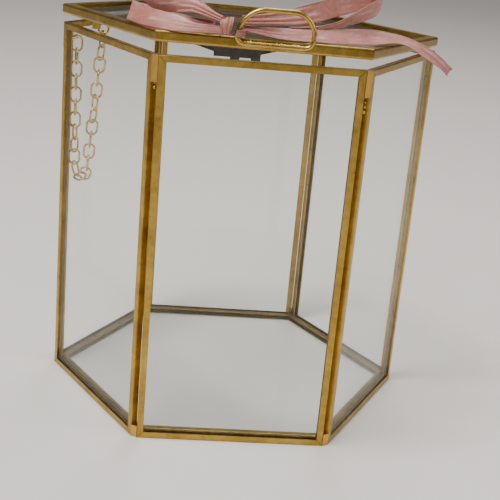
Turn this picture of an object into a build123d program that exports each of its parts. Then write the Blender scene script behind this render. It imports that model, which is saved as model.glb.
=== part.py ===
from build123d import *
import os
from math import cos, hypot, radians, sin, sqrt, tan

# A hexagonal glass card box. Every pane is held in a folded brass channel, the six wall panels
# are soldered along the corners, and the lid turns on a hinge at the back. The origin is the
# centre of the base, +Z is up, and the front wall faces -Y. Sizes are in millimetres.

# ---- driving dimensions ----------------------------------------------------------------------
side = 110.0              # outside edge length of the hexagon
wall_height = 214.5       # from the table to the rim
channel_thickness = 4.0   # outside thickness of a wall's or the base's channel
channel_sheet = 0.6       # brass sheet that the channels are folded from
channel_lip = 3.5         # how far a wall's or the base's channel reaches over its glass
wall_glass_thickness = 2.5
lid_channel_thickness = 5.6
lid_channel_lip = 5.5
lid_glass_thickness = 3.0
edge_radius = 0.5         # folded outer edges of the channels
lid_edge_radius = 1.2
glass_play = 0.1          # between the glass and the bottom of its channel
seam_play = 0.1           # between soldered neighbours

top_solder_length = 14.0
bottom_solder_length = 7.0

lid_gap = 1.4             # between the rim and the lid when the lid is down
lid_ajar = 1.33           # degrees that the lid stands open at rest
lid_skew = 0.6            # degrees that the lid is soldered askew on its hinge, higher at the left

pin_radius = 1.0
pin_play = 0.05           # radial running clearance of the pin in the lid's knuckles
pin_head_length = 1.0
pin_head_radius = 1.7
knuckle_radius = 2.0
knuckle_length = 9.0
knuckle_count = 5         # odd, so that the body leaf has both outer knuckles
knuckle_play = 0.3        # between neighbouring knuckles, and from a knuckle to the other leaf
leaf_thickness = 1.0
body_leaf_height = 27.5
body_leaf_block = 16.0    # half width of the leaf's lower block
body_leaf_half_width = 36.0
body_leaf_wing_drop = 19.0
body_leaf_tab = (6.5, 1.5)  # width and length of the two small tabs under the block
lid_leaf_half_width = 24.0
hinge_offset = -2.0       # of the hinge's middle from the middle of the back wall

handle_wire = 2.5
handle_width = 40.1
handle_height = 17.2
handle_offset = 3.6       # of the loop's middle from the middle of the lid's front
handle_lean = 6.0         # how far the loop's top left corner is pulled in
handle_radii = (4.0, 14.0, 11.0, 4.5)  # bends: bottom left, top left, top right, bottom right

link_wire = 1.2
link_pitch = 7.5
link_width = 7.2
link_slack = 0.4          # free play between two links
links_to_box_eye = 10     # straight run of links on the box's side
links_to_lid_eye = 11     # and on the lid's side; three more links turn the bottom of the chain
bottom_link_slope = 60.0  # degrees that the links beside the lowest one slope
link_twists = [0, 75, 0, 90, 0, 90, 10, 65, 125, 180, 120, 30,
               170, 90, 0, 90, 5, 60, 120, 180, 90, 0, 60, 120]  # degrees about each link's length
eye_wire = 1.1
box_eye_depth = 8.0       # of the box eye below the rim
box_eye_reach = 4.2       # of the box eye's bend from the inside corner
box_eye_bend = 1.8
lid_eye_radius = 3.0
lid_eye_inset = 10.4      # of the lid eye from the outside of the front left wall
lid_eye_along = -22.4     # of the lid eye from the middle of that wall
lid_eye_drop = 7.9        # of the lid eye's lowest wire below the lid
lid_eye_foot = (2.4, 1.5)  # solder foot: width, and how much of it lies on the lid's channel

ribbon_width = 10.0
ribbon_thickness = 0.8
ribbon_knot_size = (6.5, 6.0, 9.0)
ribbon_knot_radius = 1.5
ribbon_wrap_wall = 1.6
ribbon_wrap_height = 4.0
soft_clearance = 0.35

# ---- sizes that follow from them ---------------------------------------------------------------
apothem = side * sqrt(3) / 2
corner_setback = channel_thickness * tan(radians(30)) + seam_play / 2
panel_width = side - 2 * corner_setback
inner_apothem = apothem - channel_thickness
hinge_y = apothem + knuckle_radius + knuckle_play
hinge_z = wall_height + lid_gap / 2
hinge_axis = Axis((0, hinge_y, hinge_z), (-1, 0, 0))
lid_underside = wall_height + lid_gap
lid_top = lid_underside + lid_channel_thickness
handle_plane_y = -(apothem + handle_wire / 2)
link_length = link_pitch + link_slack + 2 * link_wire
wire_offset = (link_slack + link_wire) / 2   # of a link's end wire from the joint of two links
FRONT_LEFT = 5
walls = ["front", "front_right", "back_right", "back", "back_left", "front_left"]


def save(node, solids):
    """Writes one named piece, or one group of identical pieces, in millimetres."""
    shapes = solids if isinstance(solids, list) else [solids]
    shape = shapes[0] if len(shapes) == 1 else Compound(children=shapes)
    export_step(shape, f"parts/{node}.step")


def box_between(low, high):
    """A box given by its lowest and highest corners."""
    size = [b - a for a, b in zip(low, high)]
    middle = [(a + b) / 2 for a, b in zip(low, high)]
    return Pos(*middle) * Box(*size)


def to_wall(shape, index):
    """Turns a shape from the front wall to another wall, counted anticlockwise from the front."""
    return Rot(0, 0, 60 * index) * shape


def hexagon(apothem_size, height, bottom):
    """A hexagonal plate with a flat side towards the front."""
    outline = RegularPolygon(apothem_size, 6, major_radius=False)
    return Pos(0, 0, bottom) * extrude(outline, amount=height)


# ---- walls -------------------------------------------------------------------------------------
def wall_frame():
    """The front wall's channel: four sides of folded brass round a slot for the glass."""
    outer = box_between((-panel_width / 2, -apothem, 0), (panel_width / 2, -inner_apothem, wall_height))
    outer = fillet(outer.edges().filter_by(Axis.Y, reverse=True), edge_radius)
    window = box_between(
        (-panel_width / 2 + channel_lip, -apothem - 1, channel_lip),
        (panel_width / 2 - channel_lip, -inner_apothem + 1, wall_height - channel_lip),
    )
    slot = box_between(
        (-panel_width / 2 + channel_sheet, -apothem + channel_sheet, channel_sheet),
        (panel_width / 2 - channel_sheet, -inner_apothem - channel_sheet, wall_height - channel_sheet),
    )
    return outer - window - slot


def wall_glass():
    """The front wall's pane, which stops just short of the bottom of its channel."""
    margin = channel_sheet + glass_play
    middle = (apothem + inner_apothem) / 2
    return box_between(
        (-panel_width / 2 + margin, -middle - wall_glass_thickness / 2, margin),
        (panel_width / 2 - margin, -middle + wall_glass_thickness / 2, wall_height - margin),
    )


def corner_solder(bottom, length):
    """The solder that fills the groove between two wall panels, at the front left corner."""
    groove_slope = tan(radians(30))
    root = side - channel_thickness * 2 / sqrt(3) + 2 * seam_play
    mouth = side - corner_setback / 2
    half_width = (mouth - root) * groove_slope
    outline = Polyline((root, 0), (mouth, half_width), (mouth, -half_width), close=True)
    return Rot(0, 0, 240) * Pos(0, 0, bottom) * extrude(make_face(outline), amount=length)


# ---- base and lid ------------------------------------------------------------------------------
def hexagon_frame(outside, bottom, thickness, lip, radius):
    """A hexagonal channel round a slot for a hexagonal pane."""
    outer = hexagon(outside, thickness, bottom)
    outer = fillet(outer.edges().filter_by(Plane.XY), radius)
    window = hexagon(outside - lip, thickness + 2, bottom - 1)
    slot = hexagon(outside - channel_sheet, thickness - 2 * channel_sheet, bottom + channel_sheet)
    return outer - window - slot


def hexagon_glass(outside, bottom, thickness, glass):
    """The pane of a hexagonal frame."""
    return hexagon(outside - channel_sheet - glass_play, glass, bottom + (thickness - glass) / 2)


def open_by(shape, degrees):
    """Turns a piece of the lid about the hinge pin; positive opens."""
    return shape.rotate(hinge_axis, degrees)


def on_lid(shape):
    """Puts a piece made on the level lid where the lid stands at rest: askew and ajar."""
    skewed = shape.rotate(Axis((0, 0, hinge_z), (0, 1, 0)), lid_skew)
    return open_by(skewed, lid_ajar)


# ---- hinge -------------------------------------------------------------------------------------
def knuckle(index, bore):
    """One of the hinge's knuckles, counted from its left end, with the pin's hole in it."""
    pitch = knuckle_length + knuckle_play
    x = hinge_offset + (index - (knuckle_count - 1) / 2) * pitch
    tube = Cylinder(knuckle_radius, knuckle_length) - Cylinder(bore, knuckle_length)
    return Pos(x, hinge_y, hinge_z) * Rot(0, 90, 0) * tube


def leaf_web(index, low, high):
    """The strip of leaf that reaches from the plate to one knuckle."""
    pitch = knuckle_length + knuckle_play
    x = hinge_offset + (index - (knuckle_count - 1) / 2) * pitch
    strip = box_between(
        (x - knuckle_length / 2, apothem, low),
        (x + knuckle_length / 2, apothem + leaf_thickness, high),
    )
    return strip - Pos(x, hinge_y, hinge_z) * Rot(0, 90, 0) * Cylinder(pin_radius + pin_play, side)


def hinge_body_leaf():
    """The leaf on the outside of the back wall: a winged plate with two tabs below."""
    top = hinge_z - knuckle_radius - knuckle_play
    bottom = wall_height - body_leaf_height
    tab_width, tab_length = body_leaf_tab
    tab_at = body_leaf_block - tab_width
    points = [
        (-body_leaf_half_width, top), (-body_leaf_half_width, wall_height - body_leaf_wing_drop),
        (-body_leaf_block, bottom + 2 * tab_length), (-body_leaf_block, bottom),
        (-tab_at / 2, bottom), (-tab_at / 2, bottom - tab_length),
        (-tab_at / 2 + tab_width, bottom - tab_length), (-tab_at / 2 + tab_width, bottom),
        (tab_at, bottom), (tab_at, bottom - tab_length),
        (body_leaf_block, bottom - tab_length), (body_leaf_block, bottom + 2 * tab_length),
        (body_leaf_half_width, wall_height - body_leaf_wing_drop), (body_leaf_half_width, top),
    ]
    face = make_face(Polyline(*points, close=True))
    plate = Pos(hinge_offset, apothem, 0) * Rot(90, 0, 0) * extrude(face, amount=-leaf_thickness)
    leaf = plate
    for index in range(0, knuckle_count, 2):
        leaf = leaf + knuckle(index, pin_radius) + leaf_web(index, top - 1, hinge_z)
    return leaf - Pos(hinge_offset, hinge_y, hinge_z) * Rot(0, 90, 0) * Cylinder(pin_radius, side)


def hinge_lid_leaf():
    """The leaf on the lid's back face, with the inner knuckles."""
    bottom = hinge_z + knuckle_radius + knuckle_play
    leaf = box_between(
        (hinge_offset - lid_leaf_half_width, apothem, bottom),
        (hinge_offset + lid_leaf_half_width, apothem + leaf_thickness, lid_top - lid_edge_radius),
    )
    for index in range(1, knuckle_count, 2):
        leaf = leaf + knuckle(index, pin_radius + pin_play) + leaf_web(index, hinge_z, bottom + 1)
    bore = Cylinder(pin_radius + pin_play, side)
    return open_by(leaf - Pos(hinge_offset, hinge_y, hinge_z) * Rot(0, 90, 0) * bore, lid_ajar)


def hinge_pin():
    """The pin through all the knuckles, with a small head at each end."""
    length = knuckle_count * knuckle_length + (knuckle_count - 1) * knuckle_play
    pin = Cylinder(pin_radius, length)
    head = Cylinder(pin_head_radius, pin_head_length)
    for end in (-1, 1):
        pin = pin + Pos(0, 0, end * (length + pin_head_length) / 2) * head
    return Pos(hinge_offset, hinge_y, hinge_z) * Rot(0, 90, 0) * pin


# ---- handle ------------------------------------------------------------------------------------
def lid_handle():
    """A loop of round wire that stands against the lid's front; its ends meet in the soldered foot."""
    low = (lid_underside + lid_top) / 2
    left, right = handle_offset - handle_width / 2, handle_offset + handle_width / 2
    outline = [
        (handle_offset - seam_play / 2, low), (left, low), (left + handle_lean, low + handle_height),
        (right, low + handle_height), (right, low), (handle_offset + seam_play / 2, low),
    ]
    path = FilletPolyline(*[(x, handle_plane_y, z) for x, z in outline], radius=list(handle_radii))
    section = Plane(origin=path @ 0, z_dir=path % 0) * Circle(handle_wire / 2)
    return on_lid(sweep(section, path=path))


# ---- chain -------------------------------------------------------------------------------------
def chain_points():
    """The two eyes, and the joints of the links between them, along the hanging chain at rest."""
    turn = radians(60 * FRONT_LEFT - 90)
    outward, along = Vector(cos(turn), sin(turn), 0), Vector(-sin(turn), cos(turn), 0)
    level_eye = outward * (apothem - lid_eye_inset) + along * lid_eye_along
    low_wire = level_eye + Vector(0, 0, lid_underside - lid_eye_drop + link_wire / 2)
    lid_joint = on_lid(Vertex(*low_wire)).center() + Vector(0, 0, wire_offset)
    corner = side - channel_thickness * 2 / sqrt(3)
    box_joint = Vector(-corner + box_eye_reach, 0, wall_height - box_eye_depth)
    across = Vector(lid_joint.X - box_joint.X, lid_joint.Y - box_joint.Y, 0)
    span = across.length
    across = across.normalized()
    slope = radians(bottom_link_slope)
    bottom_width = link_pitch * (1 + 2 * cos(slope))
    # the lower ends of the two straight runs are level, bottom_width apart
    run_a, run_b = link_pitch * links_to_box_eye, link_pitch * links_to_lid_eye
    x_b, z_b = span - bottom_width, lid_joint.Z - box_joint.Z
    reach = hypot(x_b, z_b)
    foot = (run_a ** 2 - run_b ** 2 + reach ** 2) / (2 * reach)
    fall = sqrt(run_a ** 2 - foot ** 2)
    x_low = (foot * x_b + fall * z_b) / reach
    z_low = (foot * z_b - fall * x_b) / reach
    low_a = box_joint + across * x_low + Vector(0, 0, z_low)
    low_b = low_a + across * bottom_width
    step = across * (link_pitch * cos(slope))
    drop = Vector(0, 0, link_pitch * sin(slope))
    joints = [box_joint + (low_a - box_joint) * (i / links_to_box_eye) for i in range(links_to_box_eye + 1)]
    joints += [low_a + step - drop, low_b - step - drop]
    joints += [low_b + (lid_joint - low_b) * (i / links_to_lid_eye) for i in range(links_to_lid_eye + 1)]
    return joints


def chain_link(start, end, twist):
    """One oval link between two joints, turned about its own length by twist degrees."""
    half = (link_length - link_width) / 2
    radius = (link_width - link_wire) / 2
    path = Wire([
        Edge.make_line((radius, 0, -half), (radius, 0, half)),
        Edge.make_three_point_arc((radius, 0, half), (0, 0, half + radius), (-radius, 0, half)),
        Edge.make_line((-radius, 0, half), (-radius, 0, -half)),
        Edge.make_three_point_arc((-radius, 0, -half), (0, 0, -half - radius), (radius, 0, -half)),
    ])
    section = Plane(origin=(radius, 0, -half), z_dir=(0, 0, 1)) * Circle(link_wire / 2)
    link = sweep(section, path=path)
    place = Plane(origin=(start + end) / 2, x_dir=(1, 0, 0), z_dir=end - start)
    return place.location * Rot(0, 0, twist) * link


def chain_eye_box():
    """A bent wire across the inside of the left corner, its ends soldered to the two lips there."""
    joint = chain_points()[0]
    corner = side - channel_thickness * 2 / sqrt(3)
    bend_x = joint.X + box_eye_bend
    leg = (bend_x + corner) * cos(radians(30))
    foot_x, foot_y = bend_x - leg * cos(radians(30)), leg * sin(radians(30))
    z = joint.Z - wire_offset
    path = FilletPolyline((foot_x, -foot_y, z), (bend_x, 0, z), (foot_x, foot_y, z), radius=box_eye_bend)
    section = Plane(origin=path @ 0, z_dir=path % 0) * Circle(eye_wire / 2)
    return sweep(section, path=path)


def chain_eye_lid():
    """A wire ring under the lid's front left channel, held by a foot of solder."""
    foot_width, foot_hold = lid_eye_foot
    centre_z = lid_underside - lid_eye_drop + eye_wire / 2 + lid_eye_radius
    centre_y = -apothem + lid_eye_inset
    ring = Pos(lid_eye_along, centre_y, centre_z) * Rot(0, 90, 0) * Torus(lid_eye_radius, eye_wire / 2)
    foot = box_between(
        (lid_eye_along - foot_width / 2, -apothem + lid_channel_lip - foot_hold, centre_z),
        (lid_eye_along + foot_width / 2, centre_y - lid_eye_radius + eye_wire / 2, lid_underside),
    )
    return on_lid(to_wall(ring + foot, FRONT_LEFT))


# ---- ribbon ------------------------------------------------------------------------------------
def ribbon_strip(stations):
    """A thin strip through stations: lean is the tilt of its width from upright. It spreads with the lid."""
    spread = side / stations_side
    leg_x = handle_leg_x(0)
    centres = [Vector(leg_x + (x - leg_x) * spread, y * spread, lid_top + z) for x, y, z, lean in stations]
    rings = []
    for i, (centre, station) in enumerate(zip(centres, stations)):
        heading = centres[min(i + 1, len(centres) - 1)] - centres[max(i - 1, 0)]
        flat = Vector(heading.X, heading.Y, 0).normalized()
        side_way = Vector(-flat.Y, flat.X, 0)
        lean = radians(station[3])
        width = (Vector(0, 0, cos(lean)) + side_way * sin(lean)) * (ribbon_width / 2)
        thick = width.cross(heading).normalized() * (ribbon_thickness / 2)
        rings.append([centre + width + thick, centre + width - thick,
                      centre - width - thick, centre - width + thick])
    faces = []
    for a, b in zip(rings, rings[1:]):
        for k in range(4):
            m = (k + 1) % 4
            faces.append(Face(Wire.make_polygon([a[k], a[m], b[m]])))
            faces.append(Face(Wire.make_polygon([a[k], b[m], b[k]])))
    faces.append(Face(Wire.make_polygon([rings[0][0], rings[0][1], rings[0][2]])))
    faces.append(Face(Wire.make_polygon([rings[0][0], rings[0][2], rings[0][3]])))
    faces.append(Face(Wire.make_polygon([rings[-1][0], rings[-1][1], rings[-1][2]])))
    faces.append(Face(Wire.make_polygon([rings[-1][0], rings[-1][2], rings[-1][3]])))
    return Solid(Shell(faces))


# the places that each band of the ribbon passes when the side is stations_side: (x, y, height above the
# top of the closed lid, lean), with the lid standing at rest
stations_side = 110.0
loop_left_stations = [
    (-24, -98.5, 7.8, -60), (-36.1, -97.5, 8.5, -55), (-47.3, -91, 9.3, -45), (-57.7, -82, 9.5, -40),
    (-65.7, -71, 9.7, -38), (-68.5, -63, 10.1, -10), (-64.9, -57.5, 9.1, 40), (-55.3, -66, 8.5, 50),
    (-44.1, -77, 8.3, 55), (-33.7, -86, 8.4, 55), (-27, -91.5, 8.9, 55),
]
tail_left_stations = [
    (-26, -98, 14.9, -30), (-32.1, -93, 16.2, -35), (-38.1, -86, 17.2, -40), (-46.5, -80, 16.9, -45),
    (-54.5, -74, 16.7, -30), (-60.9, -68, 19, 20), (-65.7, -60, 23, 40),
]
loop_right_stations = [
    (-11, -90, 15, 10), (1.1, -88.5, 15.5, 10), (18.7, -84.5, 18, 10), (36.3, -77, 22, 10),
    (51.7, -69, 26, 5), (60.5, -66, 27, 0), (57, -73, 22.5, 20), (44, -77, 16.5, 35),
    (30.8, -79, 11.7, 55), (17.6, -80, 9.7, 70), (3.3, -80.5, 8.8, 75),
]
tail_right_stations = [
    (-10, -91, 8.7, 60), (3.3, -90.5, 7.8, 62), (16.5, -89.5, 7.6, 62), (29.7, -87.5, 7.6, 55),
    (44, -83, 7.8, 50), (57, -77.5, 7.8, 50), (67, -72.5, 7.7, 60), (77, -67.5, 5.4, 60),
    (88.5, -62, 0, 45), (98, -58, -5.5, 35), (105.5, -55, -11, 30),
]


def handle_leg_x(height):
    """Where the middle of the handle's left leg is, at a height above the loop's foot, on the level lid."""
    return handle_offset - handle_width / 2 + handle_lean * height / handle_height


def ribbon_knot():
    """The knot beside the handle's left leg: a small plain block with rounded edges."""
    long, deep, tall = ribbon_knot_size
    low = lid_top + soft_clearance
    lean_over_knot = handle_lean * tall / handle_height / 2
    leg_x = handle_leg_x(low + tall / 2 - (lid_underside + lid_top) / 2)
    x = leg_x - handle_wire / 2 - soft_clearance - lean_over_knot - long / 2
    block = fillet(Box(long, deep, tall).edges(), ribbon_knot_radius)
    return on_lid(Pos(x, handle_plane_y, low + tall / 2) * block)


def ribbon_wrap():
    """The turn of ribbon round the front of the handle's left leg: half a sleeve."""
    low = lid_top + soft_clearance
    middle = low + ribbon_wrap_height / 2
    x = handle_leg_x(middle - (lid_underside + lid_top) / 2)
    # the leg leans, so the sleeve is wide enough for it over its whole height
    bore = handle_wire / 2 + 2 * soft_clearance + handle_lean / handle_height * ribbon_wrap_height / 2
    sleeve = Cylinder(bore + ribbon_wrap_wall, ribbon_wrap_height) - Cylinder(bore, ribbon_wrap_height)
    right = Pos(bore + ribbon_wrap_wall, 0, 0) * Box(2 * (bore + ribbon_wrap_wall), side, ribbon_wrap_height)
    return on_lid(Pos(x, handle_plane_y, middle) * (sleeve & right))


def build():
    """Makes every piece and writes it under its own name."""
    os.makedirs("parts", exist_ok=True)
    frame, glass = wall_frame(), wall_glass()
    for index, wall in enumerate(walls):
        save(f"wall_frame_{wall}", to_wall(frame, index))
        save(f"wall_glass_{wall}", to_wall(glass, index))
    base_outside = inner_apothem - seam_play
    save("base_frame", hexagon_frame(base_outside, 0, channel_thickness, channel_lip, edge_radius))
    save("base_glass", hexagon_glass(base_outside, 0, channel_thickness, wall_glass_thickness))
    top_solder = corner_solder(wall_height - top_solder_length, top_solder_length)
    bottom_solder = corner_solder(0, bottom_solder_length)
    save("corner_solder_top", [to_wall(top_solder, index) for index in range(6)])
    save("corner_solder_bottom", [to_wall(bottom_solder, index) for index in range(6)])
    lid_frame = hexagon_frame(apothem, lid_underside, lid_channel_thickness, lid_channel_lip, lid_edge_radius)
    lid_glass = hexagon_glass(apothem, lid_underside, lid_channel_thickness, lid_glass_thickness)
    save("lid_frame", on_lid(lid_frame))
    save("lid_glass", on_lid(lid_glass))
    save("hinge_body_leaf", hinge_body_leaf())
    save("hinge_lid_leaf", hinge_lid_leaf())
    save("hinge_pin", hinge_pin())
    save("lid_handle", lid_handle())
    save("chain_eye_box", chain_eye_box())
    save("chain_eye_lid", chain_eye_lid())
    joints = chain_points()
    for number, (start, end, twist) in enumerate(zip(joints, joints[1:], link_twists), start=1):
        save(f"chain_link_{number:02d}", chain_link(start, end, twist))
    save("ribbon_knot", ribbon_knot())
    save("ribbon_wrap", ribbon_wrap())
    save("ribbon_loop_left", ribbon_strip(loop_left_stations))
    save("ribbon_tail_left", ribbon_strip(tail_left_stations))
    save("ribbon_loop_right", ribbon_strip(loop_right_stations))
    save("ribbon_tail_right", ribbon_strip(tail_right_stations))


build()
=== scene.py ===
"""Looks of a hexagonal glass card box: brass channel, clear panes, a chain stay and a satin ribbon.

Lengths are in metres, in the frame's own axes: +Z up, the front wall faces -Y.
"""
import logging
import math
from dataclasses import dataclass, field
from enum import Enum

import bpy
import bmesh
from mathutils import Matrix, Vector


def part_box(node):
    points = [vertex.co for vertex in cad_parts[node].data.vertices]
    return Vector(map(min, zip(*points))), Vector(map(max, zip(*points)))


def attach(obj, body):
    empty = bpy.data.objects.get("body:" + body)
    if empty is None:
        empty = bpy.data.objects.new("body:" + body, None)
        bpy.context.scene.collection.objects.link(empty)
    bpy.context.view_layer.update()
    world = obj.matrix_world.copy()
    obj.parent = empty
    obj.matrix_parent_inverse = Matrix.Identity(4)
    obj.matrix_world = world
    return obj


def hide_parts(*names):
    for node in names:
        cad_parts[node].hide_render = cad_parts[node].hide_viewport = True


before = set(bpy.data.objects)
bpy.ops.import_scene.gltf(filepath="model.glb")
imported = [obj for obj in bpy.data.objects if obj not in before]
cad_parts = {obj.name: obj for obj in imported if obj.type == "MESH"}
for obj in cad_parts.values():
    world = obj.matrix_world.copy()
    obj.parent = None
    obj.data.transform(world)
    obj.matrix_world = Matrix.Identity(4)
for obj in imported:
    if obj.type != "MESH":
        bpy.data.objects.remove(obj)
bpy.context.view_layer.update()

log = logging.getLogger("card_box")
MM = 0.001
UP = Vector((0.0, 0.0, 1.0))
Colour = tuple[float, float, float]


class Held(Enum):
    """How a band of the ribbon is held."""

    FOLDED = "folded"
    DRAPED = "draped"


# ---- shader maths ------------------------------------------------------------------------------
class Wire:
    """One value in a material's node tree; arithmetic on it adds Math nodes."""

    def __init__(self, graph: "Graph", socket: bpy.types.NodeSocket) -> None:
        """Holds an output.

        Args:
            graph: the material it lives in.
            socket: the output that carries the value.
        """
        self.graph = graph
        self.socket = socket

    def maths(self, operation: str, *others: "Wire | float", first: "float | None" = None) -> "Wire":
        """Adds one Math node.

        Args:
            operation: the Math node's operation.
            others: what follows this value.
            first: a number that goes before this value, for reflected forms.

        Returns:
            The node's result.
        """
        values = ([] if first is None else [first]) + [self, *others]
        return self.graph.add("ShaderNodeMath", {"operation": operation}, dict(enumerate(values)))

    def __add__(self, other: "Wire | float") -> "Wire":
        """Sum."""
        return self.maths("ADD", other)

    __radd__ = __add__

    def __mul__(self, other: "Wire | float") -> "Wire":
        """Product."""
        return self.maths("MULTIPLY", other)

    __rmul__ = __mul__

    def __sub__(self, other: "Wire | float") -> "Wire":
        """Difference."""
        return self.maths("SUBTRACT", other)

    def __rsub__(self, other: float) -> "Wire":
        """A number less this value."""
        return self.maths("SUBTRACT", first=other)

    def __pow__(self, other: float) -> "Wire":
        """Power."""
        return self.maths("POWER", other)

    def sine(self) -> "Wire":
        """Sine, of radians."""
        return self.maths("SINE")

    def clamped(self) -> "Wire":
        """The value held between 0 and 1."""
        return self.maths("MINIMUM", 1.0).maths("MAXIMUM", 0.0)

    def band(self, low: float, high: float) -> "Wire":
        """A ramp from 0 at low to 1 at high, held outside them."""
        return ((self - low) * (1.0 / (high - low))).clamped()


class Graph:
    """A material and the nodes in it."""

    def __init__(self, name: str) -> None:
        """Starts an empty material.

        Args:
            name: its name.
        """
        self.material = bpy.data.materials.new(name)
        self.material.use_nodes = True
        self.nodes = self.material.node_tree.nodes
        self.links = self.material.node_tree.links
        self.nodes.clear()

    def add(self, kind: str, settings: dict, inputs: dict, output: "int | str" = 0) -> Wire:
        """Adds a node.

        Args:
            kind: the node's type.
            settings: its properties, set first.
            inputs: socket name or number to a value or a Wire.
            output: which output to return.

        Returns:
            The chosen output.
        """
        node = self.nodes.new(kind)
        for key, value in settings.items():
            setattr(node, key, value)
        for key, value in inputs.items():
            if isinstance(value, Wire):
                self.links.new(value.socket, node.inputs[key])
            else:
                node.inputs[key].default_value = value
        return Wire(self, node.outputs[output])

    def place(self) -> Wire:
        """Object coordinates, in metres."""
        return self.add("ShaderNodeTexCoord", {}, {}, "Object")

    def noise(self, where: Wire, scale: float, detail: float = 3.0, roughness: float = 0.55) -> Wire:
        """Noise from 0 to 1 at a scale in cycles a metre."""
        inputs = {"Vector": where, "Scale": scale, "Detail": detail, "Roughness": roughness}
        return self.add("ShaderNodeTexNoise", {}, inputs, "Fac")

    def tint(self, share: "Wire | float", low: "Wire | Colour", high: "Wire | Colour") -> Wire:
        """Colour low where share is 0, blending to high where it is 1."""
        settings = {"data_type": "RGBA", "blend_type": "MIX"}
        pair = [c if isinstance(c, Wire) else (*c, 1.0) for c in (low, high)]
        return self.add("ShaderNodeMix", settings, {0: share, 6: pair[0], 7: pair[1]}, 2)

    def bump(self, height: Wire, strength: float, depth: float) -> Wire:
        """A normal from a height map whose full range is depth metres."""
        return self.add("ShaderNodeBump", {}, {"Height": height, "Strength": strength, "Distance": depth})

    def surface(self, shader: Wire) -> bpy.types.Material:
        """Joins a shader to the material's output.

        Args:
            shader: the surface.

        Returns:
            The finished material.
        """
        out = self.nodes.new("ShaderNodeOutputMaterial")
        self.links.new(shader.socket, out.inputs["Surface"])
        return self.material


# ---- finishes ----------------------------------------------------------------------------------
@dataclass(frozen=True)
class BrassFinish:
    """Folded or drawn brass with a lacquered, slightly tarnished face."""

    name: str
    light: Colour
    deep: Colour
    stain: Colour
    roughness: float
    stain_share: float = 0.45
    grain_depth: float = 0.06 * MM

    def material(self) -> bpy.types.Material:
        """Builds the brass material."""
        g = Graph(self.name)
        here = g.place()
        cloud = g.noise(here, 55.0, 4.0)
        mottle = g.noise(here, 260.0, 5.0, 0.65)
        speck = g.noise(here, 900.0, 3.0, 0.7)
        tone = (cloud * 0.55 + mottle * 0.45).band(0.36, 0.66)
        stained = (g.noise(here, 140.0, 6.0, 0.7) * 0.7 + speck * 0.3).band(0.56, 0.70) * self.stain_share
        colour = g.tint(stained, g.tint(tone, self.deep, self.light), self.stain)
        rough = mottle * 0.16 + stained * 0.25 + (self.roughness - 0.08)
        height = mottle * 0.6 + speck * 0.4
        return g.surface(g.add("ShaderNodeBsdfPrincipled", {}, {
            "Base Color": colour, "Metallic": 1.0, "Roughness": rough,
            "Normal": g.bump(height, 0.35, self.grain_depth)}))


@dataclass(frozen=True)
class PaintedShadeBronze:
    """Near-black bronze colour, painted shade for a hinge that sits in shadow, worn to brown in random
    patches.
    """

    name: str = "dark_bronze"
    # dark: near-black, painted shade standing in for the shadow on the hinge.
    dark: Colour = (0.020, 0.011, 0.008)
    worn: Colour = (0.085, 0.045, 0.022)
    roughness: float = 0.42

    def material(self) -> bpy.types.Material:
        """Builds the bronze material."""
        g = Graph(self.name)
        here = g.place()
        wear = g.noise(here, 320.0, 5.0, 0.65).band(0.5, 0.72)
        grain = g.noise(here, 1500.0, 2.0)
        return g.surface(g.add("ShaderNodeBsdfPrincipled", {}, {
            "Base Color": g.tint(wear, self.dark, self.worn), "Metallic": 0.85,
            "Roughness": grain * 0.2 + self.roughness, "Normal": g.bump(grain, 0.4, 0.05 * MM)}))


@dataclass(frozen=True)
class GlassFinish:
    """Thin clear pane: mostly see-through, glossy at a grazing view, with faint smears."""

    name: str = "clear_glass"
    tint: Colour = (0.988, 0.994, 0.991)
    gloss: Colour = (0.90, 0.94, 0.92)
    clear_gloss: float = 0.022
    edge_gloss: float = 0.75
    smear_gloss: float = 0.05

    def material(self) -> bpy.types.Material:
        """Builds the glass material."""
        g = Graph(self.name)
        here = g.place()
        cloud = g.noise(here, 30.0, 4.0, 0.6).band(0.55, 0.78)
        smear = cloud * g.noise(here, 190.0, 4.0, 0.7).band(0.4, 0.75)
        facing = g.add("ShaderNodeLayerWeight", {}, {"Blend": 0.5}, "Facing")
        share = (facing ** 5.0 * self.edge_gloss + smear * self.smear_gloss + self.clear_gloss).clamped()
        clear = g.add("ShaderNodeBsdfTransparent", {}, {"Color": (*self.tint, 1.0)})
        shine = g.add("ShaderNodeBsdfPrincipled", {}, {
            "Base Color": (*self.gloss, 1.0), "Metallic": 1.0, "Roughness": smear * 0.3 + 0.03})
        return g.surface(g.add("ShaderNodeMixShader", {}, {0: share, 1: clear, 2: shine}))


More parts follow.
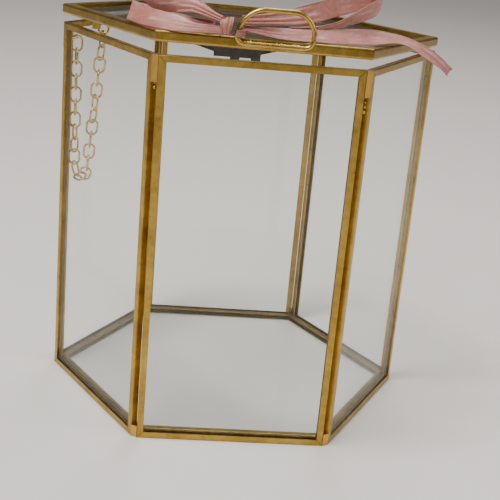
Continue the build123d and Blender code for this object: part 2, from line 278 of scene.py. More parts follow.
@dataclass(frozen=True)
class SatinFinish:
    """Satin ribbon: a fine weave and a tighter, darker selvage, with painted shade in the creases of its
    crumple and painted highlight streaks and specks.
    """

    name: str = "satin_ribbon"
    face: Colour = (0.52, 0.19, 0.145)
    # deep: the colour of the painted shade in the crumple's creases, and also of the darker selvage.
    deep: Colour = (0.32, 0.095, 0.065)
    # glint: a pale colour painted in as highlight streaks and specks along the ribbon.
    glint: Colour = (0.95, 0.72, 0.67)
    width: float = 10.0 * MM
    thread: float = 0.16 * MM

    def material(self) -> bpy.types.Material:
        """Builds the satin material, which reads the strip's own UV map in metres."""
        g = Graph(self.name)
        uv = g.add("ShaderNodeUVMap", {"uv_map": "cloth"}, {})
        parts = self.split(g, uv)
        turn = 2.0 * math.pi / self.thread
        warp = (parts[1] * turn).sine()
        weft = ((parts[0] + parts[1] * 0.5) * (turn * 0.55)).sine()
        weave = (warp * 0.5 + weft * 0.5) * 0.5 + 0.5
        # Crumple noise: the ribbon's crumple bump and roughness, and also the mask of the painted shade in
        # its creases.
        crumple_and_crease_shade = g.noise(uv, 420.0, 4.0, 0.6)
        # Painted highlight specks: fine noise that lights small spots of the ribbon in the glint colour.
        highlight_speck = g.noise(uv, 2600.0, 2.0, 0.7).band(0.56, 0.72)
        edge = ((parts[1] * (2.0 / self.width) - 1.0).maths("ABSOLUTE")).band(0.86, 0.95)
        # Painted shade: the deep colour lies where the crumple bump is low, darkening its creases.
        tone = (crumple_and_crease_shade * 0.7 + weave * 0.3).band(0.3, 0.7)
        # Painted highlight: pale streaks drawn out along the ribbon, and the specks, tinted towards the glint
        # colour.
        drawn_out = g.add("ShaderNodeMapping", {}, {"Vector": uv, "Scale": (0.18, 1.0, 1.0)})
        highlight_streak = g.noise(drawn_out, 330.0, 3.0).band(0.53, 0.68)
        shine = highlight_streak * (highlight_speck * 0.6 + 0.3) + highlight_speck * 0.2
        colour = g.tint(shine, g.tint(tone, self.deep, self.face), self.glint)
        colour = g.tint(edge * 0.35, colour, self.deep)
        height = weave * 0.35 + crumple_and_crease_shade * 0.65 + edge * 0.15
        return g.surface(g.add("ShaderNodeBsdfPrincipled", {}, {
            "Base Color": colour, "Roughness": crumple_and_crease_shade * 0.22 + 0.20, "Sheen Weight": 0.12,
            "Sheen Roughness": 0.4, "Specular IOR Level": 0.95,
            "Normal": g.bump(height, 0.6, 0.3 * MM)}))

    @staticmethod
    def split(g: Graph, vector: Wire) -> tuple[Wire, Wire]:
        """The vector's first two parts.

        Args:
            g: the material's graph.
            vector: what to split.

        Returns:
            Its X and Y.
        """
        node = g.nodes.new("ShaderNodeSeparateXYZ")
        g.links.new(vector.socket, node.inputs[0])
        return Wire(g, node.outputs[0]), Wire(g, node.outputs[1])


@dataclass(frozen=True)
class FloorFinish:
    """Plain pale cloth-coloured floor."""

    name: str = "pale_floor"
    colour: Colour = (0.70, 0.655, 0.60)

    def material(self) -> bpy.types.Material:
        """Builds the floor material."""
        g = Graph(self.name)
        grain = g.noise(g.place(), 40.0, 5.0)
        shade = g.tint(grain.band(0.3, 0.7) * 0.12, self.colour, (0.62, 0.56, 0.53))
        return g.surface(g.add("ShaderNodeBsdfPrincipled", {}, {"Base Color": shade, "Roughness": 0.9}))


CHANNEL = BrassFinish("came_brass", (0.53, 0.35, 0.080), (0.30, 0.18, 0.030), (0.13, 0.07, 0.015), 0.30)
CHAIN = BrassFinish("chain_brass", (0.74, 0.52, 0.13), (0.46, 0.30, 0.055), (0.18, 0.11, 0.02), 0.24, 0.3)
SOLDER = BrassFinish("solder", (0.74, 0.47, 0.13), (0.46, 0.22, 0.045), (0.20, 0.08, 0.02), 0.24, 0.5,
                     0.12 * MM)
SEAM = BrassFinish("seam_brass", (0.16, 0.09, 0.025), (0.09, 0.05, 0.015), (0.05, 0.03, 0.01), 0.5)
HANDLE = BrassFinish("handle_wire", (0.62, 0.42, 0.13), (0.42, 0.26, 0.06), (0.20, 0.11, 0.03), 0.27, 0.35)


# ---- making pieces -----------------------------------------------------------------------------
def link(name: str, mesh: bpy.types.Mesh) -> bpy.types.Object:
    """Puts a mesh in the scene as an object at the origin.

    Args:
        name: the piece's name.
        mesh: its mesh, already in place.

    Returns:
        The new object.
    """
    piece = bpy.data.objects.new(name, mesh)
    bpy.context.scene.collection.objects.link(piece)
    return piece


def dress(material: bpy.types.Material, *nodes: str) -> None:
    """Gives CAD nodes a finish.

    Args:
        material: the finish.
        nodes: the nodes' names.
    """
    for name in nodes:
        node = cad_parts[name]
        if not node.data.materials:
            node.data.materials.append(material)
        for slot in node.material_slots:
            slot.link = "OBJECT"
            slot.material = material
        log.info("dressed %s in %s", name, material.name)


def curve_through(points: list[Vector], steps: int) -> list[Vector]:
    """A smooth line through points (uniform in shape and in steps).

    Args:
        points: what it passes through.
        steps: how many parts each span gets.

    Returns:
        The points of the line.
    """
    ends = [points[0] * 2 - points[1], *points, points[-1] * 2 - points[-2]]
    line = []
    for a, b, c, d in zip(ends, ends[1:], ends[2:], ends[3:]):
        for k in range(steps):
            t = k / steps
            line.append(0.5 * (2 * b + (c - a) * t + (2 * a - 5 * b + 4 * c - d) * t * t
                               + (3 * b - a - 3 * c + d) * t ** 3))
    return [*line, points[-1].copy()]


# ---- solder ------------------------------------------------------------------------------------
class SolderTree:
    """Geometry Nodes that lay a run of overlapping lumps along a straight line."""

    def __init__(self) -> None:
        """Builds the tree with its named inputs."""
        self.tree = bpy.data.node_groups.new("solder_run", "GeometryNodeTree")
        self.inputs: dict[str, str] = {}
        for name, kind, value in (
            ("Start", "NodeSocketVector", (0.0, 0.0, 0.0)), ("End", "NodeSocketVector", (0.0, 0.0, 0.01)),
            ("Lumps", "NodeSocketInt", 8), ("Smallest", "NodeSocketFloat", 0.5 * MM),
            ("Largest", "NodeSocketFloat", 1.2 * MM), ("Scatter", "NodeSocketFloat", 0.4 * MM),
            ("Seed", "NodeSocketInt", 1), ("Finish", "NodeSocketMaterial", None),
        ):
            socket = self.tree.interface.new_socket(name, in_out="INPUT", socket_type=kind)
            if value is not None:
                socket.default_value = value
            self.inputs[name] = socket.identifier
        self.tree.interface.new_socket("Geometry", in_out="OUTPUT", socket_type="NodeSocketGeometry")
        self.build()

    def node(self, kind: str, settings: dict, inputs: dict) -> bpy.types.Node:
        """Adds one node to the tree.

        Args:
            kind: the node's type.
            settings: its properties.
            inputs: socket name or number to a value or an output socket.

        Returns:
            The new node.
        """
        made = self.tree.nodes.new(kind)
        for key, value in settings.items():
            setattr(made, key, value)
        for key, value in inputs.items():
            if isinstance(value, bpy.types.NodeSocket):
                self.tree.links.new(value, made.inputs[key])
            else:
                made.inputs[key].default_value = value
        return made

    def build(self) -> None:
        """Lays the nodes: a line of points, a lump on each, scattered and sized at random."""
        given = self.tree.nodes.new("NodeGroupInput").outputs
        line = self.node("GeometryNodeMeshLine", {"mode": "END_POINTS"}, {
            "Count": given["Lumps"], "Start Location": given["Start"], "Offset": given["End"]})
        spread = self.node("ShaderNodeVectorMath", {"operation": "SCALE"}, {
            0: (1.0, 1.0, 1.0), "Scale": given["Scatter"]})
        back = self.node("ShaderNodeVectorMath", {"operation": "SCALE"}, {
            0: (-1.0, -1.0, -1.0), "Scale": given["Scatter"]})
        shift = self.node("FunctionNodeRandomValue", {"data_type": "FLOAT_VECTOR"}, {
            0: back.outputs[0], 1: spread.outputs[0], "Seed": given["Seed"]})
        moved = self.node("GeometryNodeSetPosition", {}, {
            "Geometry": line.outputs[0], "Offset": shift.outputs[0]})
        size = self.node("FunctionNodeRandomValue", {"data_type": "FLOAT"}, {
            2: given["Smallest"], 3: given["Largest"], "Seed": given["Seed"]})
        lump = self.node("GeometryNodeMeshIcoSphere", {}, {"Radius": 1.0, "Subdivisions": 3})
        placed = self.node("GeometryNodeInstanceOnPoints", {}, {
            "Points": moved.outputs[0], "Instance": lump.outputs[0], "Scale": size.outputs[1]})
        solid = self.node("GeometryNodeRealizeInstances", {}, {0: placed.outputs[0]})
        smooth = self.node("GeometryNodeSetShadeSmooth", {}, {"Geometry": solid.outputs[0]})
        painted = self.node("GeometryNodeSetMaterial", {}, {
            "Geometry": smooth.outputs[0], "Material": given["Finish"]})
        out = self.tree.nodes.new("NodeGroupOutput")
        self.tree.links.new(painted.outputs[0], out.inputs[0])

    def run(self, name: str, runs: list[dict], material: bpy.types.Material) -> bpy.types.Object:
        """Makes one piece from several runs of lumps.

        Args:
            name: the piece's name.
            runs: for each run, values for the tree's named inputs.
            material: the finish of the lumps.

        Returns:
            A plain mesh object.
        """
        whole = bmesh.new()
        for number, values in enumerate(runs):
            host = link(f"{name}_host", bpy.data.meshes.new("host"))
            modifier = host.modifiers.new("solder", "NODES")
            modifier.node_group = self.tree
            for key, value in {**values, "Seed": number + 7, "Finish": material}.items():
                modifier[self.inputs[key]] = value
            view = bpy.context.evaluated_depsgraph_get()
            made = bpy.data.meshes.new_from_object(host.evaluated_get(view))
            whole.from_mesh(made)
            host.modifiers.clear()
            bpy.data.objects.remove(host)
            bpy.data.meshes.remove(made)
        mesh = bpy.data.meshes.new(name)
        whole.to_mesh(mesh)
        whole.free()
        mesh.materials.append(material)
        mesh.shade_smooth()
        return link(name, mesh)


def solder_run(start: Vector, end: Vector, lumps: int, sizes: tuple[float, float],
               scatter: float) -> dict[str, "Vector | float | int"]:
    """Values for one run of solder lumps.

    Args:
        start: where it starts.
        end: where it ends.
        lumps: how many lumps.
        sizes: the smallest and the largest lump's radius.
        scatter: how far a lump strays from the line.

    Returns:
        The solder tree's inputs by name.
    """
    return {"Start": start, "End": end, "Lumps": lumps, "Smallest": sizes[0], "Largest": sizes[1],
            "Scatter": scatter}


def settle(piece: bpy.types.Object, body: str) -> None:
    """Fixes a piece to the body that carries it and reports it."""
    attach(piece, body)
    log.info("built %s", piece.name)


@dataclass
class BoxBody:
    """Walls and base: brass channels, their panes, and the solder at the corners."""

    walls: tuple[str, ...] = ("front", "front_right", "back_right", "back", "back_left", "front_left")
    groove_inset: float = 1.5 * MM
    top_lumps: int = 9
    top_lump_sizes: tuple[float, float] = (0.45 * MM, 1.0 * MM)
    top_below_rim: float = 0.9 * MM
    shortest_drop: float = 11.0 * MM
    drop_step: float = 5.0 * MM
    foot_lumps: int = 6
    foot_lump_sizes: tuple[float, float] = (0.6 * MM, 1.15 * MM)
    foot_inset: float = 0.2 * MM
    foot_above_table: float = 1.2 * MM
    foot_height: float = 4.5 * MM
    scatter: float = 0.3 * MM
    seam_width: float = 0.22 * MM
    seam_proud: float = 0.03 * MM
    seam_start: float = 0.9 * MM
    lip: float = 3.5 * MM

    def dress(self, brass: bpy.types.Material, glass: bpy.types.Material, solder: bpy.types.Material) -> None:
        """Gives the body's CAD nodes their finishes."""
        dress(brass, *[f"wall_frame_{w}" for w in self.walls], "base_frame")
        dress(glass, *[f"wall_glass_{w}" for w in self.walls], "base_glass")
        dress(solder, "corner_solder_top", "corner_solder_bottom")

    def corners(self) -> list[Vector]:
        """Where the grooves between the walls are, on the ground."""
        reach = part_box("wall_frame_front_right")[1][0]
        return [Vector((math.cos(a), math.sin(a), 0.0)) * (reach - self.groove_inset)
                for a in (math.radians(60 * k) for k in range(6))]

    def solder_runs(self, tree: SolderTree, solder: bpy.types.Material) -> None:
        """Builds the lumps of solder at the top and bottom of each groove.

        Args:
            tree: what lays a run of lumps.
            solder: their finish.
        """
        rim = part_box("wall_frame_front")[1][2]
        runs = []
        for number, corner in enumerate(self.corners()):
            drop = self.shortest_drop + self.drop_step * (number % 3)
            top = corner + UP * (rim - self.top_below_rim)
            foot = corner - corner.normalized() * self.foot_inset + UP * self.foot_above_table
            runs.append(solder_run(top, top - UP * drop, self.top_lumps, self.top_lump_sizes, self.scatter))
            runs.append(solder_run(foot, foot + UP * self.foot_height, self.foot_lumps,
                                   self.foot_lump_sizes, self.scatter))
        settle(tree.run("corner_solder_lumps", runs, solder), "box")

    def mitre_seams(self, dark: bpy.types.Material) -> None:
        """Builds the fine dark joints where the lips of each wall's channel meet at 45 degrees.

        Args:
            dark: the joints' finish.
        """
        low, high = (Vector(c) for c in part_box("wall_frame_front"))
        seam = bmesh.new()
        for turn in range(6):
            spin = Matrix.Rotation(math.radians(60 * turn), 3, "Z")
            for face, sign in ((low.y, -1.0), (high.y, 1.0)):
                for x, inward_x in ((low.x, 1.0), (high.x, -1.0)):
                    for z, inward_z in ((low.z, 1.0), (high.z, -1.0)):
                        self.seam(seam, spin, (x, inward_x), (z, inward_z), face + sign * self.seam_proud)
        mesh = bpy.data.meshes.new("mitre_seams")
        bmesh.ops.recalc_face_normals(seam, faces=seam.faces)
        seam.to_mesh(mesh)
        seam.free()
        mesh.materials.append(dark)
        settle(link("mitre_seams", mesh), "box")

    def seam(self, made: bmesh.types.BMesh, spin: Matrix, at_x: tuple, at_z: tuple, y: float) -> None:
        """Adds one thin closed strip along a mitre.

        Args:
            made: the mesh that it goes into.
            spin: the turn from the front wall to its own.
            at_x: the corner's X and the way inward.
            at_z: the corner's Z and the way inward.
            y: where its outer face is.
        """
        (x, dx), (z, dz) = at_x, at_z
        start, end = self.seam_start, self.lip
        half = self.seam_width / 2
        ring = []
        for along, side in ((start, 1), (end, 1), (end, -1), (start, -1)):
            ring.append(Vector((x + dx * (along + side * half), y, z + dz * (along - side * half))))
        outer = [made.verts.new(spin @ p) for p in ring]
        into_brass = Vector((0, self.seam_proud * 2 * self.toward(y), 0))
        inner = [made.verts.new(spin @ (p + into_brass)) for p in ring]
        made.faces.new(outer)
        made.faces.new(inner[::-1])
        for k in range(4):
            m = (k + 1) % 4
            made.faces.new((outer[k], inner[k], inner[m], outer[m]))

    @staticmethod
    def toward(y: float) -> float:
        """The way from a lip's face into its brass, where the front wall's outer face is lowest."""
        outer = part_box("wall_frame_front")[0][1]
        return 1.0 if y <= outer else -1.0


@dataclass
class Lid:
    """The lid's channel, pane, wire handle and the solder that holds the handle."""

    foot_lumps: int = 30
    lump_sizes: tuple[float, float] = (0.55 * MM, 1.05 * MM)
    scatter: float = 0.35 * MM
    foot_ends: tuple[float, float] = (3.5 * MM, 5.0 * MM)
    behind_wire: float = 0.9 * MM
    above_wire: tuple[float, float] = (2.2 * MM, 1.8 * MM)

    def dress(self, brass: bpy.types.Material, glass: bpy.types.Material, wire: bpy.types.Material) -> None:
        """Gives the lid's CAD nodes their finishes."""
        dress(brass, "lid_frame")
        dress(glass, "lid_glass")
        dress(wire, "lid_handle")

    def handle_solder(self, tree: SolderTree, solder: bpy.types.Material) -> None:
        """Builds the orange-brown run of solder between the handle's foot and the lid's front.

        Args:
            tree: what lays a run of lumps.
            solder: their finish.
        """
        low, high = (Vector(c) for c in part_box("lid_handle"))
        y = high.y - self.behind_wire
        start = Vector((low.x + self.foot_ends[0], y, low.z + self.above_wire[0]))
        end = Vector((high.x - self.foot_ends[1], y, low.z + self.above_wire[1]))
        runs = [solder_run(start, end, self.foot_lumps, self.lump_sizes, self.scatter)]
        settle(tree.run("handle_solder", runs, solder), "lid")


@dataclass
class Hinge:
    """Hinge at the back, darkened with painted shade."""

    nodes: tuple[str, ...] = ("hinge_body_leaf", "hinge_lid_leaf", "hinge_pin")

    def dress(self, bronze: bpy.types.Material) -> None:
        """Gives the hinge its finish, a dark colour that is painted shade."""
        dress(bronze, *self.nodes)


@dataclass
class ChainStay:
    """The chain that stops the lid, with its two eyes."""

    links: int = 24

    def dress(self, brass: bpy.types.Material) -> None:
        """Gives the chain its finish."""
        dress(brass, *[f"chain_link_{n:02d}" for n in range(1, self.links + 1)])
        dress(brass, "chain_eye_box", "chain_eye_lid")


# ---- ribbon ------------------------------------------------------------------------------------
@dataclass
class Band:
    """One free band of ribbon: stations of (x, y, z, lean) in millimetres and degrees."""

    name: str
    replaces: str
    held: Held
    stations: list[tuple[float, float, float, float]]
    gathers: tuple[float, float] = (0.45, 1.0)
    gather_reach: float = 26.0 * MM
    steps: int = 9
    across: int = 26
    pleats: float = 3.0
    bow: float = 0.5 * MM
    ripple: float = 0.35 * MM
    slant: float = 0.0
    phase: float = 0.0

    def lines(self) -> tuple[list[Vector], list[float]]:
        """The band's middle line and its lean along it."""
        middle_line = curve_through([Vector(s[:3]) * MM for s in self.stations], self.steps)
        leans = curve_through([Vector((s[3], 0, 0)) for s in self.stations], self.steps)
        return middle_line, [math.radians(v.x) for v in leans]

    def shown(self, run: float, length: float) -> float:
        """How much of the ribbon's width shows, where it is drawn together towards the knot.

        Args:
            run: how far along the band.
            length: the band's length.

        Returns:
            The share of the width.
        """
        share = 1.0
        for least, away in zip(self.gathers, (run, length - run)):
            t = min(1.0, away / self.gather_reach)
            share = min(share, least + (1.0 - least) * t * t * (3 - 2 * t))
        return share

    def row(self, point: Vector, heading: Vector, lean: float, run: float, length: float,
            width: float) -> list[Vector]:
        """The places across the band at one point of its middle line.

        Args:
            point: the middle.
            heading: the way along, of length one.
            lean: the tilt of the width from upright.
            run: how far along the band it is.
            length: the band's length.
            width: the ribbon's width.

        Returns:
            Places from the lower edge to the upper one.
        """
        sideways = Vector((-heading.y, heading.x, 0.0)).normalized()
        across = Vector((0, 0, math.cos(lean))) + sideways * math.sin(lean)
        across = (across - heading * across.dot(heading)).normalized()
        face = across.cross(heading)
        share = self.shown(run, length)
        depth = width * share / self.pleats / math.pi * math.sqrt(max(0.0, 1.0 / share - 1.0))
        places = []
        for k in range(self.across + 1):
            v = k / self.across * 2 - 1
            warp = v + 0.16 * math.sin(2.3 * v + self.phase) * (1 - v * v)
            pleat = math.sin(warp * self.pleats * math.pi + self.phase + run / (9 * MM)) * depth
            wave = math.sin(run / (7 * MM) + self.phase + v * 1.3) * self.ripple * abs(v)
            cut = self.slant * v if run >= length else 0.0
            places.append(point + across * (v * width * share / 2) + heading * cut
                          + face * (self.bow * (1 - v * v) + wave + pleat))
        return places

    def mesh(self, width: float) -> tuple[bpy.types.Mesh, float]:
        """Builds the band.

        Args:
            width: the ribbon's width.

        Returns:
            The mesh, and the length of the ribbon in it.
        """
        line, leans = self.lines()
        runs = [0.0]
        for before, after in zip(line, line[1:]):
            runs.append(runs[-1] + (after - before).length)
        rows = []
        for i, (point, lean, run) in enumerate(zip(line, leans, runs)):
            heading = (line[min(i + 1, len(line) - 1)] - line[max(i - 1, 0)]).normalized()
            rows.append(self.row(point, heading, lean, run, runs[-1], width))
        return cloth_mesh(self.name, rows, runs, width), runs[-1]


def cloth_mesh(name: str, rows: list[list[Vector]], runs: list[float], width: float) -> bpy.types.Mesh:
    """Builds a sheet from rows of places, with a UV map in metres.

    Args:
        name: the mesh's name.
        rows: the places across the sheet, one row after another.
        runs: how far along each row is.
        width: the sheet's flat width.

    Returns:
        The mesh.
    """
    made = bmesh.new()
    cloth = made.loops.layers.uv.new("cloth")
    grid = [[made.verts.new(place) for place in row] for row in rows]
    count = len(rows[0]) - 1
    for i in range(len(grid) - 1):
        for k in range(count):
            spots = ((i, k), (i + 1, k), (i + 1, k + 1), (i, k + 1))
            quad = made.faces.new([grid[r][c] for r, c in spots])
            quad.smooth = True
            for loop, (r, c) in zip(quad.loops, spots):
                loop[cloth].uv = (runs[r], c / count * width)
    mesh = bpy.data.meshes.new(name)
    made.to_mesh(mesh)
    made.free()
    return mesh


@dataclass
class Ribbon:
    """The satin ribbon: two loops, two tails, the knot and the turn round the handle's leg."""

    width: float = 10.0 * MM
    thickness: float = 0.25 * MM
    turn_start: float = -100.0
    knot_turn: float = 400.0
    knot_rows: int = 44
    knot_inset: float = 0.4 * MM
    knot_drift: float = 1.2 * MM
    knot_pleat: float = 0.42 * MM
    wrap_rows: int = 24
    wrap_inset: float = 0.5 * MM
    wrap_shy: float = 0.2 * MM
    wrap_pleat: float = 0.45 * MM
    pleat_columns: int = 48
    bands: list[Band] = field(default_factory=lambda: [
        Band("ribbon_left_loop", "ribbon_loop_left", Held.FOLDED, [
            (-22.3, -98.3, 229.3, -60), (-36.1, -97.3, 229.6, -55), (-47.3, -91, 230.4, -45),
            (-57.7, -82, 230.8, -40), (-65.7, -71, 231.2, -38), (-68.5, -63, 231.6, -10),
            (-64.9, -57.5, 230.6, 40), (-55.3, -66, 230.0, 50), (-44.1, -77, 229.8, 55),
            (-33.7, -86, 229.9, 55), (-27, -91.5, 230.4, 55)], gathers=(0.42, 0.6), phase=0.4),
        Band("ribbon_left_tail", "ribbon_tail_left", Held.DRAPED, [
            (-22.6, -97.5, 234.4, -30), (-27.0, -94, 235.6, -35), (-32.0, -89, 237.3, -40),
            (-37.0, -84, 238.7, -35), (-43.5, -79.5, 239.0, -15), (-50.5, -75.5, 238.2, 10),
            (-57.0, -71, 238.4, 20), (-62.5, -65, 240.3, 30), (-67.2, -59, 244.0, 40)],
             gathers=(0.38, 1.0), gather_reach=30 * MM, phase=1.7, slant=1.5 * MM),
        Band("ribbon_right_loop", "ribbon_loop_right", Held.FOLDED, [
            (-12.2, -90.5, 233.8, 30), (-1.5, -88.5, 234.8, 25), (9.5, -85.5, 236.2, 15),
            (21.0, -81.5, 238.4, 10), (33.0, -76.5, 241.6, 8), (44.8, -71, 245.0, 5),
            (55.6, -67, 247.8, 0), (60.7, -65.5, 247.6, 0), (58.0, -71.5, 243.6, 20),
            (47.0, -76.5, 238.0, 38), (37.0, -79, 233.6, 52), (26.0, -80.2, 231.5, 65),
            (12.0, -80.8, 230.5, 74)], gathers=(0.5, 0.7), gather_reach=45 * MM, phase=2.6),
        Band("ribbon_right_tail", "ribbon_tail_right", Held.DRAPED, [
            (-10, -91, 229.8, 60), (3.3, -90.7, 228.9, 62), (16.5, -89.8, 228.7, 62),
            (29.7, -87.7, 228.8, 55), (44, -83, 229.1, 50), (57, -77.5, 229.1, 50),
            (67, -72.5, 229.0, 60), (77, -67.5, 226.9, 60), (88.5, -62, 221.5, 45),
            (98, -58, 216, 35), (105.0, -55.2, 210.8, 30)],
             gathers=(0.5, 0.8), gather_reach=30 * MM, phase=0.9, slant=2.2 * MM),
    ])

    def finish_sheet(self, piece: bpy.types.Object, material: bpy.types.Material, node: str,
                     length: float) -> None:
        """Gives a piece of ribbon its thickness and finish, and logs how much ribbon is in it.

        Args:
            piece: the bare strip.
            material: its finish.
            node: the CAD node that it stands in for.
            length: how much ribbon is in it.
        """
        piece.data.materials.append(material)
        solid = piece.modifiers.new("thickness", "SOLIDIFY")
        solid.thickness = self.thickness
        solid.offset = 0.0
        settle(piece, "lid")
        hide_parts(node)
        log.info("%s holds %.0f mm of ribbon", piece.name, length / MM)

    def build(self, satin: bpy.types.Material) -> None:
        """Builds every part of the ribbon.

        Args:
            satin: its finish.
        """
        for band in self.bands:
            mesh, length = band.mesh(self.width)
            self.finish_sheet(link(band.name, mesh), satin, band.replaces, length)
        self.knot(satin)
        self.wrap(satin)

    def gathered(self, name: str, path: list[Vector], across: list[Vector], shown: float,
                 pleats: float, depth: float) -> tuple[bpy.types.Object, float]:
        """Builds a short gathered stretch whose width is drawn together in pleats.

        Args:
            name: the piece's name.
            path: its middle line.
            across: the way across it at each point.
            shown: its width once gathered.
            pleats: how many pleats lie side by side.
            depth: how deep they are.

        Returns:
            The object and its length.
        """
        count = self.pleat_columns
        rows, runs = [], [0.0]
        for before, after in zip(path, path[1:]):
            runs.append(runs[-1] + (after - before).length)
        for i, (point, way, run) in enumerate(zip(path, across, runs)):
            heading = (path[min(i + 1, len(path) - 1)] - path[max(i - 1, 0)]).normalized()
            face = way.cross(heading).normalized()
            pinch = 1.0 - 0.16 * math.sin(run / (3.1 * MM) + 1.0)
            row = []
            for k in range(count + 1):
                v = k / count
                warp = v + 0.06 * math.sin(5.0 * v + run / (4 * MM))
                fold = math.sin(warp * pleats * 2 * math.pi + 0.8 * math.sin(run / (2.1 * MM)))
                height = fold * depth * (0.7 + 0.3 * math.sin(7.0 * v + run / (2.7 * MM)))
                row.append(point + way * ((v - 0.5) * shown * pinch) + face * height)
            rows.append(row)
        return link(name, cloth_mesh(name, rows, runs, self.width)), runs[-1]

    def knot(self, satin: bpy.types.Material) -> None:
        """Builds the knot: a gathered turn of ribbon round the place where the bands meet.

        Args:
            satin: its finish.
        """
        low, high = (Vector(c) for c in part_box("ribbon_knot"))
        centre = (low + high) / 2
        half_y = (high.y - low.y) / 2 - self.knot_inset
        half_z = (high.z - low.z) / 2 - self.knot_inset
        path, ways = [], []
        for i in range(self.knot_rows + 1):
            share = i / self.knot_rows
            a = math.radians(self.turn_start + self.knot_turn * share)
            drift = (share - 0.5) * self.knot_drift
            path.append(centre + Vector((drift, -half_y * math.cos(a), half_z * math.sin(a))))
            ways.append(Vector((1.0, 0.12 * math.sin(a), 0.18)).normalized())
        shown = high.x - low.x - self.knot_inset
        piece, length = self.gathered("ribbon_knot_turn", path, ways, shown, 3.0, self.knot_pleat)
        self.finish_sheet(piece, satin, "ribbon_knot", length)

    def wrap(self, satin: bpy.types.Material) -> None:
        """Builds the turn of ribbon round the front of the handle's left leg.

        Args:
            satin: its finish.
        """
        low, high = (Vector(c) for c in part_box("ribbon_wrap"))
        reach = (high.y - low.y) / 2 - self.wrap_inset
        centre = Vector((low.x, (low.y + high.y) / 2, (low.z + high.z) / 2))
        path, ways = [], []
        for i in range(self.wrap_rows + 1):
            a = math.radians(self.turn_start - 2 * self.turn_start * i / self.wrap_rows)
            path.append(centre + Vector((math.cos(a) * reach, math.sin(a) * reach, 0.0)))
            ways.append(UP)
        shown = high.z - low.z - self.wrap_shy
        piece, length = self.gathered("ribbon_leg_turn", path, ways, shown, 5.0, self.wrap_pleat)
        self.finish_sheet(piece, satin, "ribbon_wrap", length)


# ---- studio ------------------------------------------------------------------------------------
@dataclass(frozen=True)
class Lamp:
    """One square soft light, aimed at the middle of the box."""

    name: str
    place: tuple[float, float, float]
    size: float
    power: float


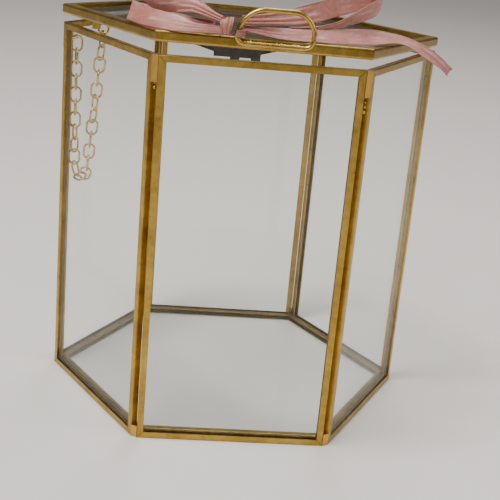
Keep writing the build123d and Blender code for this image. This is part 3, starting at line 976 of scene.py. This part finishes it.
@dataclass
class Studio:
    """Camera, floor and soft lights."""

    eye: tuple[float, float, float] = (-46.156 * MM, -624.382 * MM, 296.714 * MM)
    yaw: float = 0.0899
    pitch: float = 0.3292
    roll: float = 0.0908
    lens: float = 76.18
    sensor: float = 36.0
    clip: tuple[float, float] = (0.01, 60.0)
    floor_size: float = 12.0
    floor_drop: float = 0.1 * MM
    aim: tuple[float, float, float] = (0.0, 0.0, 0.12)
    room_strength: float = 0.54
    room: tuple[tuple[float, Colour], ...] = (
        (0.0, (0.20, 0.18, 0.16)), (0.3, (0.24, 0.22, 0.20)),
        (0.55, (0.60, 0.60, 0.61)), (1.0, (0.95, 0.97, 1.0)))
    lamps: tuple[Lamp, ...] = (
        Lamp("key", (-0.7, -0.9, 1.5), 0.8, 19.5), Lamp("fill", (1.2, -0.5, 0.9), 0.9, 8.0),
        Lamp("back", (0.3, 1.1, 1.9), 0.7, 16.0), Lamp("glint", (-0.35, -0.15, 1.4), 0.25, 11.0))

    def build(self) -> None:
        """Builds the camera, the floor, the room and the lights."""
        self.camera()
        self.floor()
        self.room_light()
        self.lights()

    def camera(self) -> None:
        """Places the camera: heading yaw to the right of +Y, looking down by pitch, tilted by roll."""
        level = math.cos(self.pitch)
        ahead = Vector((math.sin(self.yaw) * level, math.cos(self.yaw) * level, -math.sin(self.pitch)))
        right = Vector((math.cos(self.yaw), -math.sin(self.yaw), 0.0))
        up = right.cross(ahead)
        right, up = (right * math.cos(self.roll) + up * math.sin(self.roll),
                     up * math.cos(self.roll) - right * math.sin(self.roll))
        data = bpy.data.cameras.new("camera")
        data.lens = self.lens
        data.sensor_width = self.sensor
        data.clip_start, data.clip_end = self.clip
        camera = bpy.data.objects.new("camera", data)
        turn = Matrix((right, up, -ahead)).transposed().to_4x4()
        camera.matrix_world = Matrix.Translation(Vector(self.eye)) @ turn
        bpy.context.scene.collection.objects.link(camera)
        bpy.context.scene.camera = camera

    def floor(self) -> None:
        """Lays the pale floor just under the base."""
        half = self.floor_size / 2
        mesh = bpy.data.meshes.new("floor")
        mesh.from_pydata([(-half, -half, 0), (half, -half, 0), (half, half, 0), (-half, half, 0)], [],
                         [(0, 1, 2, 3)])
        mesh.transform(Matrix.Translation(-UP * self.floor_drop))
        mesh.materials.append(FloorFinish().material())
        link("floor", mesh)

    def room_light(self) -> None:
        """Surrounds the box with a soft pale room, darker towards the ground."""
        world = bpy.data.worlds.new("room")
        world.use_nodes = True
        nodes, links = world.node_tree.nodes, world.node_tree.links
        nodes.clear()
        where = nodes.new("ShaderNodeTexCoord")
        parts = nodes.new("ShaderNodeSeparateXYZ")
        ramp = nodes.new("ShaderNodeValToRGB")
        shade = nodes.new("ShaderNodeBackground")
        out = nodes.new("ShaderNodeOutputWorld")
        links.new(where.outputs["Generated"], parts.inputs[0])
        links.new(parts.outputs["Z"], ramp.inputs[0])
        links.new(ramp.outputs[0], shade.inputs[0])
        links.new(shade.outputs[0], out.inputs[0])
        for index, (height, colour) in enumerate(self.room):
            stops = ramp.color_ramp.elements
            stop = stops[index] if index < len(stops) else stops.new(height)
            stop.position = height
            stop.color = (*colour, 1.0)
        shade.inputs["Strength"].default_value = self.room_strength
        bpy.context.scene.world = world

    def lights(self) -> None:
        """Hangs the lamps."""
        for lamp in self.lamps:
            data = bpy.data.lights.new(lamp.name, "AREA")
            data.size, data.energy = lamp.size, lamp.power
            hung = bpy.data.objects.new(lamp.name, data)
            hung.location = lamp.place
            hung.rotation_mode = "QUATERNION"
            hung.rotation_quaternion = (Vector(self.aim) - Vector(lamp.place)).to_track_quat("-Z", "Y")
            bpy.context.scene.collection.objects.link(hung)


def main() -> None:
    """Builds the studio, then dresses and builds each sub-assembly in turn."""
    logging.basicConfig(level=logging.INFO, format="%(name)s: %(message)s")
    Studio().build()
    channel, solder = CHANNEL.material(), SOLDER.material()
    glass, chain, wire = GlassFinish().material(), CHAIN.material(), HANDLE.material()
    tree = SolderTree()
    body = BoxBody()
    body.dress(channel, glass, solder)
    body.solder_runs(tree, solder)
    body.mitre_seams(SEAM.material())
    lid = Lid()
    lid.dress(channel, glass, wire)
    lid.handle_solder(tree, solder)
    Hinge().dress(PaintedShadeBronze().material())
    ChainStay().dress(chain)
    Ribbon().build(SatinFinish().material())


if __name__ == "__main__":
    main()
